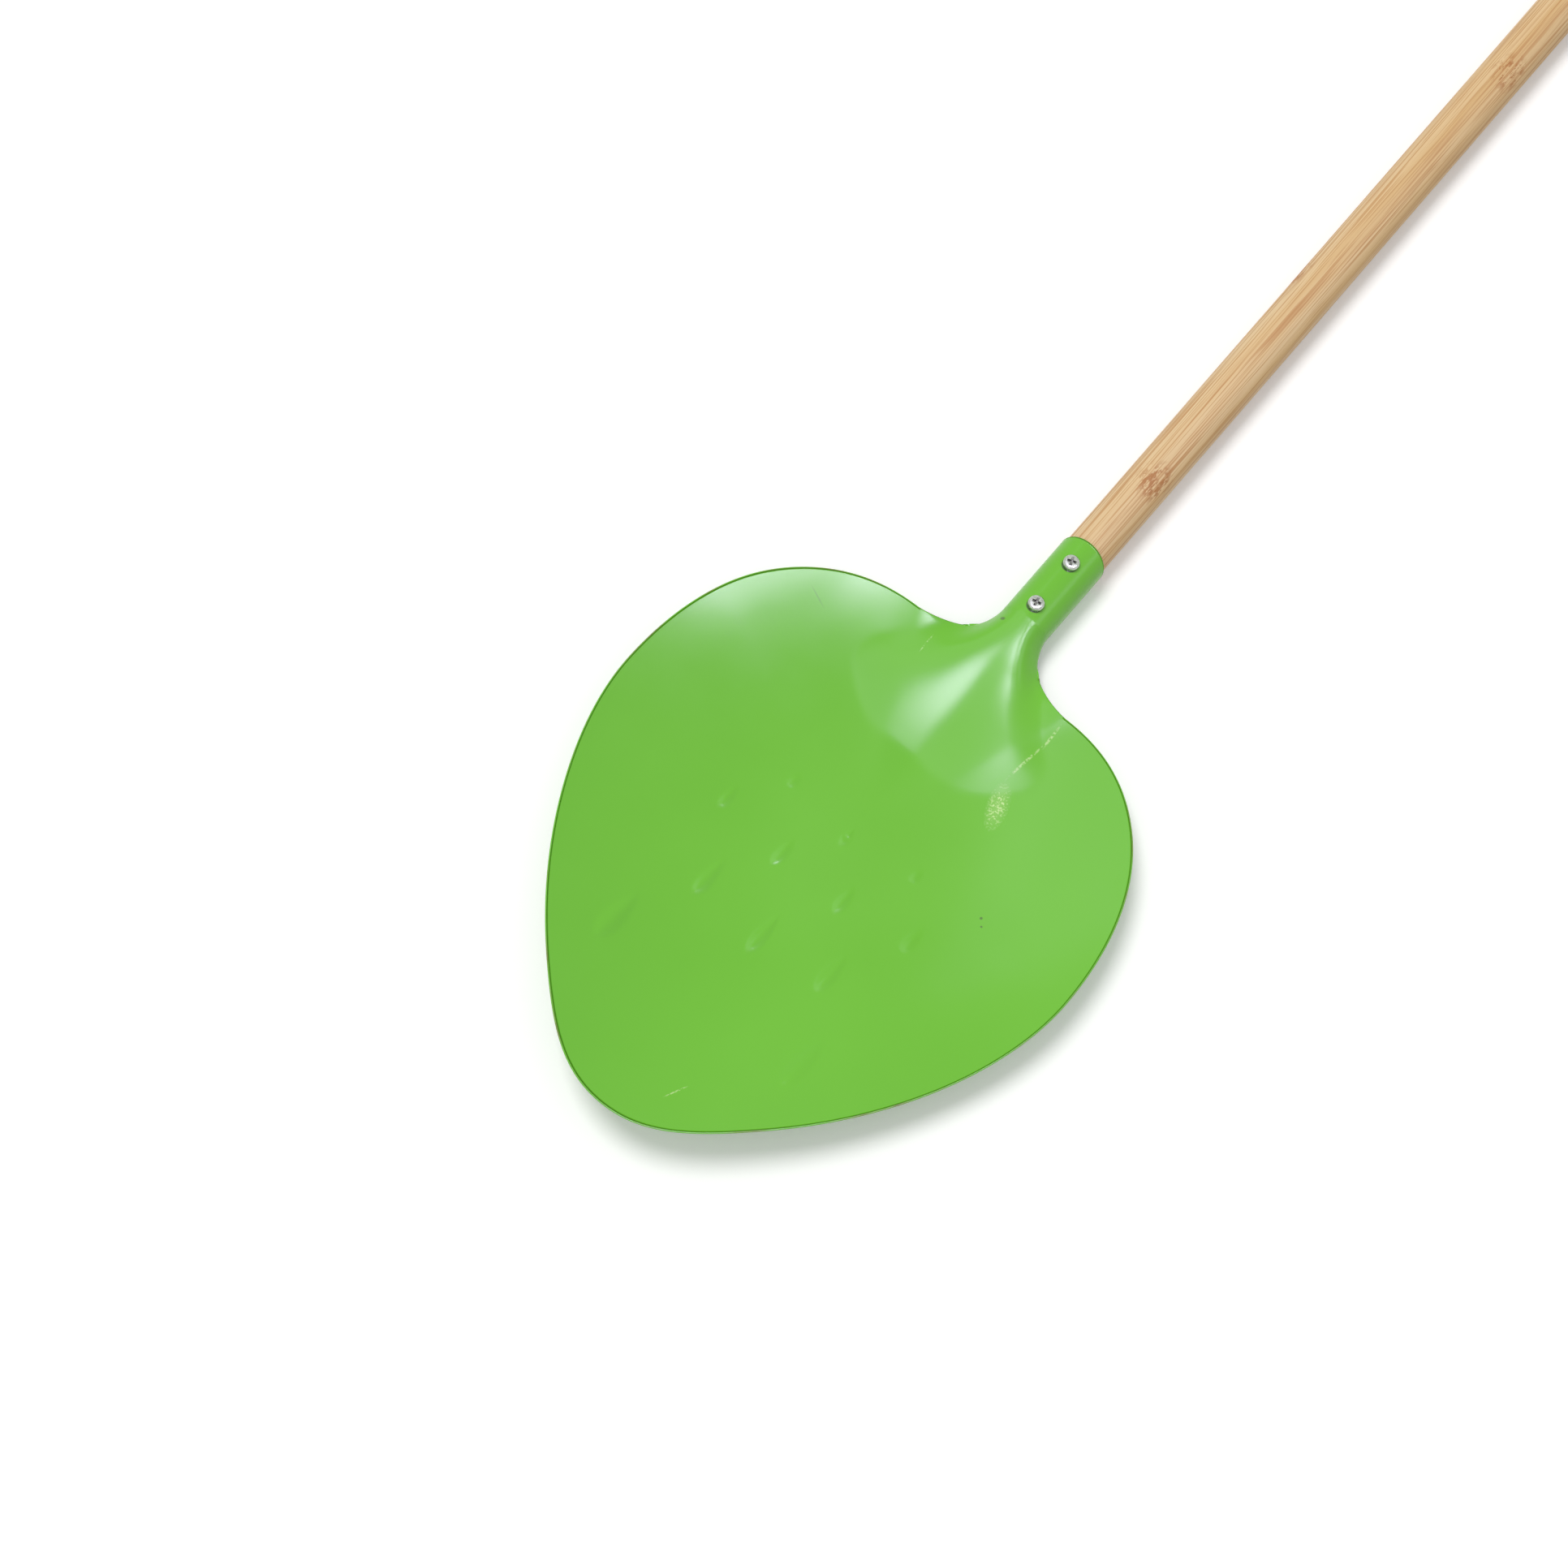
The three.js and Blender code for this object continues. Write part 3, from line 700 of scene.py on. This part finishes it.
def ramp(tree, factor, stops):
    """A colour ramp with stops of place and colour."""
    node = tree.nodes.new("ShaderNodeValToRGB")
    elements = node.color_ramp.elements
    while len(elements) < len(stops):
        elements.new(0.5)
    for element, (place, colour) in zip(elements, stops):
        element.position = place
        element.color = colour
    tree.links.new(factor, node.inputs["Fac"])
    return node.outputs["Color"]


def fade(tree, factor, span, levels):
    """A value that goes from one level to another over a span of the factor, and is held beyond it."""
    node = tree.nodes.new("ShaderNodeMapRange")
    for name, value in zip(("From Min", "From Max", "To Min", "To Max"), (*span, *levels)):
        node.inputs[name].default_value = value
    tree.links.new(factor, node.inputs["Value"])
    return node.outputs["Result"]


def mix_colour(tree, factor, first, second):
    """The first colour turning into the second, each given as a colour or as a node's output."""
    node = tree.nodes.new("ShaderNodeMix")
    node.data_type = "RGBA"
    for number, value in ((MIX_FACTOR, factor), (MIX_FIRST, first), (MIX_SECOND, second)):
        if isinstance(value, bpy.types.NodeSocket):
            tree.links.new(value, node.inputs[number])
        else:
            node.inputs[number].default_value = value
    return node.outputs[MIX_RESULT]


def joined(tree, operation, values):
    """Several values joined by one operation."""
    total = values[0]
    for value in values[1:]:
        node = tree.nodes.new("ShaderNodeMath")
        node.operation = operation
        tree.links.new(total, node.inputs[0])
        tree.links.new(value, node.inputs[1])
        total = node.outputs[0]
    return total


def largest(tree, *values):
    return joined(tree, "MAXIMUM", values)


def product(tree, *values):
    return joined(tree, "MULTIPLY", values)


def set_roughness(tree, shader, factor, levels):
    tree.links.new(fade(tree, factor, NOISE_SPAN, levels), shader.inputs["Roughness"])


def set_bump(tree, shader, height, settings):
    node = add_node(tree, "ShaderNodeBump", **settings)
    tree.links.new(height, node.inputs["Height"])
    tree.links.new(node.outputs["Normal"], shader.inputs["Normal"])


def spot(tree, centre, half_sizes, turn=0.0):
    """A soft spot, 1 in its middle and 0 at its edge."""
    coordinates = tree.nodes.new("ShaderNodeTexCoord")
    mapping = tree.nodes.new("ShaderNodeMapping")
    mapping.vector_type = "TEXTURE"
    mapping.inputs["Location"].default_value = Vector(centre) * MM + Vector((0.0, RIM_Y, 0.0))
    mapping.inputs["Rotation"].default_value = (0.0, 0.0, turn)
    mapping.inputs["Scale"].default_value = Vector(half_sizes) * MM
    gradient = tree.nodes.new("ShaderNodeTexGradient")
    gradient.gradient_type = "SPHERICAL"
    tree.links.new(coordinates.outputs["Object"], mapping.inputs["Vector"])
    tree.links.new(mapping.outputs["Vector"], gradient.inputs["Vector"])
    return gradient.outputs["Fac"]


def blade_spot(tree, x, reach, half_length, half_width, turn=0.0):
    """A soft spot on the blade's upper face."""
    place = np.array(x), np.array(-reach)
    height = float(blade_height(*place, share_out(*place)))
    return spot(tree, (x, -reach, height), (half_length, half_width, MARK_DEPTH), turn)


def stroke(tree, start, end, half_width):
    """A thin mark on the blade between two places."""
    run, fall = end[0] - start[0], start[1] - end[1]
    middle = [(a + b) / 2 for a, b in zip(start, end)]
    return blade_spot(tree, *middle, math.hypot(run, fall) / 2, half_width, math.atan2(fall, run))


def strokes(tree, lines, half_width):
    return largest(tree, *[stroke(tree, *ends, half_width) for ends in lines])


# Materials
def scratches_and_painted_highlights(tree):
    """Pale scratches, and painted highlights: a line along the right fold, with painted glints and a glow
    at its end.
    """
    scratches = strokes(tree, SCRATCHES, SCRATCH_HALF_WIDTH)
    # A painted highlight along the right fold
    fold_highlight = strokes(tree, FOLD_HIGHLIGHT, FOLD_HIGHLIGHT_HALF_WIDTH)
    grain = pattern(tree, **MARK_GRAIN)
    # Real scratches together with the painted fold highlight
    scratches_and_fold_highlight = fade(tree, largest(tree, scratches, fold_highlight), *LINE_FADE)
    lines = product(tree, scratches_and_fold_highlight, fade(tree, grain, *LINE_BREAKS))
    # Pale grains as painted glints, over a faint painted glow
    glint_patch = blade_spot(tree, *GLINT_PATCH)
    glints = product(tree, glint_patch, fade(tree, grain, *GLINT_FADE))
    return largest(tree, lines, glints, fade(tree, glint_patch, *PAINTED_GLOW_FADE))


def dark_marks(tree):
    """Dark specks, and a dull scratch."""
    specks = largest(tree, *[blade_spot(tree, *speck) for speck in SPECKS])
    dull = strokes(tree, DULL_SCRATCHES, SCRATCH_HALF_WIDTH)
    return largest(tree, fade(tree, specks, *SPECK_FADE), fade(tree, dull, *DULL_FADE))


def painted_seat_shadows(tree):
    """Painted shadow: dark rims beside the screws' heads, on the side of the neck."""
    aside, onward = SEAT_SHADOW_OFFSET
    shadows = []
    for node in RECESS_TURNS:
        reach = (RIM_Y - screw_seat(node).y) / MM + onward
        half_sizes = (SEAT_SHADOW_RADIUS, SEAT_SHADOW_RADIUS, MARK_DEPTH)
        shadows.append(spot(tree, (aside, -reach, SOCKET_TOP), half_sizes))
    return fade(tree, largest(tree, *shadows), *SEAT_SHADOW_FADE)


def green_paint():
    material, tree, shader = new_material("green_paint")
    tone = ramp(tree, pattern(tree, **PAINT_CLOUDS), PAINT_TONES)
    # Pale scratches, and painted highlights along the fold and at its end
    tone = mix_colour(tree, scratches_and_painted_highlights(tree), tone, PALE_SCRATCH_AND_HIGHLIGHT)
    tone = mix_colour(tree, dark_marks(tree), tone, DARK_MARK)
    # Painted shadow beside the screw heads
    tone = mix_colour(tree, painted_seat_shadows(tree), tone, PAINTED_SEAT_SHADOW)
    tree.links.new(tone, shader.inputs["Base Color"])
    set_roughness(tree, shader, pattern(tree, **PAINT_RIPPLE), PAINT_ROUGHNESS)
    return material


def worn_edge():
    """The paint on the sheet's edge, thin and rubbed to olive in places."""
    material, tree, shader = new_material("worn_edge")
    rub = pattern(tree, **EDGE_RUB)
    tree.links.new(ramp(tree, rub, EDGE_TONES), shader.inputs["Base Color"])
    set_roughness(tree, shader, rub, EDGE_ROUGHNESS)
    return material


def bamboo():
    """Broad bands, fine fibres, darker streaks and flecked knots."""
    material, tree, shader = new_material("bamboo")
    fibres = pattern(tree, **BAMBOO_FIBRES)
    streaks = pattern(tree, **BAMBOO_STREAKS)
    flecks = fade(tree, pattern(tree, **KNOT_FLECKS), *FLECK_FADE)
    knots = fade(tree, largest(tree, *[spot(tree, *knot) for knot in KNOTS]), *KNOT_FADE)
    tone = ramp(tree, pattern(tree, **BAMBOO_BANDS), BAMBOO_TONES)
    tone = mix_colour(tree, fade(tree, fibres, *FIBRE_FADE), tone, FIBRE_TONE)
    tone = mix_colour(tree, fade(tree, streaks, *STREAK_FADE), tone, STREAK_TONE)
    tone = mix_colour(tree, product(tree, knots, flecks), tone, KNOT_TONE)
    tree.links.new(tone, shader.inputs["Base Color"])
    set_roughness(tree, shader, fibres, BAMBOO_ROUGHNESS)
    set_bump(tree, shader, fibres, FIBRE_BUMP)
    return material


def zinc(name, tones):
    """Bright zinc, or zinc darkened as painted shade in a recess."""
    material, tree, shader = new_material(name)
    grain = pattern(tree, **ZINC_GRAIN)
    tree.links.new(ramp(tree, grain, tones), shader.inputs["Base Color"])
    shader.inputs["Metallic"].default_value = 1.0
    set_roughness(tree, shader, grain, ZINC_ROUGHNESS)
    set_bump(tree, shader, grain, ZINC_BUMP)
    return material


# Stage
def seen_directly(tree, hidden, seen):
    """One value where the camera, gloss or glass sees a surface, and another where it lights things."""
    path = tree.nodes.new("ShaderNodeLightPath").outputs
    direct = largest(tree, path["Is Camera Ray"], path["Is Glossy Ray"], path["Is Transmission Ray"])
    return fade(tree, direct, (0.0, 1.0), (hidden, seen))


def floor_material():
    material, tree, shader = new_material("pale_floor")
    tone = ramp(tree, pattern(tree, **FLOOR_CLOUDS), FLOOR_TONES)
    bounced = mix_colour(tree, seen_directly(tree, FLOOR_BOUNCE, 1.0), BLACK, tone)
    tree.links.new(bounced, shader.inputs["Base Color"])
    shader.inputs["Roughness"].default_value = 1.0
    shader.inputs["Specular IOR Level"].default_value = 0.0
    shader.inputs["Emission Color"].default_value = WHITE
    tree.links.new(seen_directly(tree, 0.0, FLOOR_LIFT), shader.inputs["Emission Strength"])
    return material


def floor_object():
    half = FLOOR_HALF_WIDTH
    corners = [(-half, -half, 0.0), (half, -half, 0.0), (half, half, 0.0), (-half, half, 0.0)]
    floor = new_object("floor", corners, [(0, 1, 2, 3)], floor_material())


def light_direction(right, away):
    """A unit vector towards a light above the blade."""
    return RIGHT * right + AWAY * away + UP * math.sqrt(1.0 - right * right - away * away)


def softbox(name, right, away, half_right, half_away, radiance):
    """A soft area light that shows only in gloss."""
    direction = light_direction(right, away)
    lamp = bpy.data.lights.new(name, "AREA")
    lamp.shape = "RECTANGLE"
    lamp.size = 2 * half_right * SOFTBOX_DISTANCE
    lamp.size_y = 2 * half_away * SOFTBOX_DISTANCE / direction.z
    lamp.energy = radiance * math.pi * lamp.size * lamp.size_y
    lamp.color = SOFTBOX_TINT
    light = bpy.data.objects.new(name, lamp)
    across = AWAY.cross(direction).normalized()
    axes = Matrix((across, direction.cross(across), direction)).transposed()
    light.rotation_euler = axes.to_euler()
    light.location = TARGET + direction * SOFTBOX_DISTANCE
    light.visible_diffuse = False
    light.visible_camera = False
    bpy.context.scene.collection.objects.link(light)


def key_sun():
    """An even key light from the picture's upper left, which casts the soft shadow."""
    lamp = bpy.data.lights.new("key", "SUN")
    lamp.energy = KEY_LEVEL * math.pi
    lamp.angle = KEY_SPREAD
    light = bpy.data.objects.new("key", lamp)
    light.rotation_euler = light_direction(*KEY_DIRECTION).to_track_quat("Z", "Y").to_euler()
    light.visible_glossy = False
    bpy.context.scene.collection.objects.link(light)


def studio_light():
    for name, setting in SOFTBOXES.items():
        softbox(name, *setting)
    key_sun()


def pale_world():
    world = bpy.data.worlds.new("pale_world")
    world.use_nodes = True
    bpy.context.scene.world = world
    tree = world.node_tree
    shade = tree.nodes["Background"]
    shade.inputs["Color"].default_value = WHITE
    tree.links.new(seen_directly(tree, SKY_LEVEL, 1.0), shade.inputs["Strength"])


def place_camera():
    back = UP * math.sin(ELEVATION) - AWAY * math.cos(ELEVATION)
    lens = bpy.data.cameras.new("photo_camera")
    lens.sensor_width = SENSOR
    lens.sensor_fit = "HORIZONTAL"
    lens.lens = FOCAL_PIXELS / IMAGE_PIXELS * SENSOR
    camera = bpy.data.objects.new("photo_camera", lens)
    camera.location = TARGET + back * DISTANCE
    camera.rotation_euler = back.to_track_quat("Z", "Y").to_euler()
    bpy.context.scene.collection.objects.link(camera)
    bpy.context.scene.camera = camera


dress(blade_object(), "blade")
dress(shaft_object(), "shaft")
bright_zinc = zinc("bright_zinc", ZINC_TONES)
# Zinc darkened as painted shade for the recesses
recess_zinc_painted_shade = zinc("recess_zinc_painted_shade", RECESS_SHADE_TONES)
for screw_node in RECESS_TURNS:
    dress(screw_object(screw_node, bright_zinc, recess_zinc_painted_shade), screw_node)

floor_object()
studio_light()
pale_world()
place_camera()
bpy.context.scene.view_settings.view_transform = "Standard"
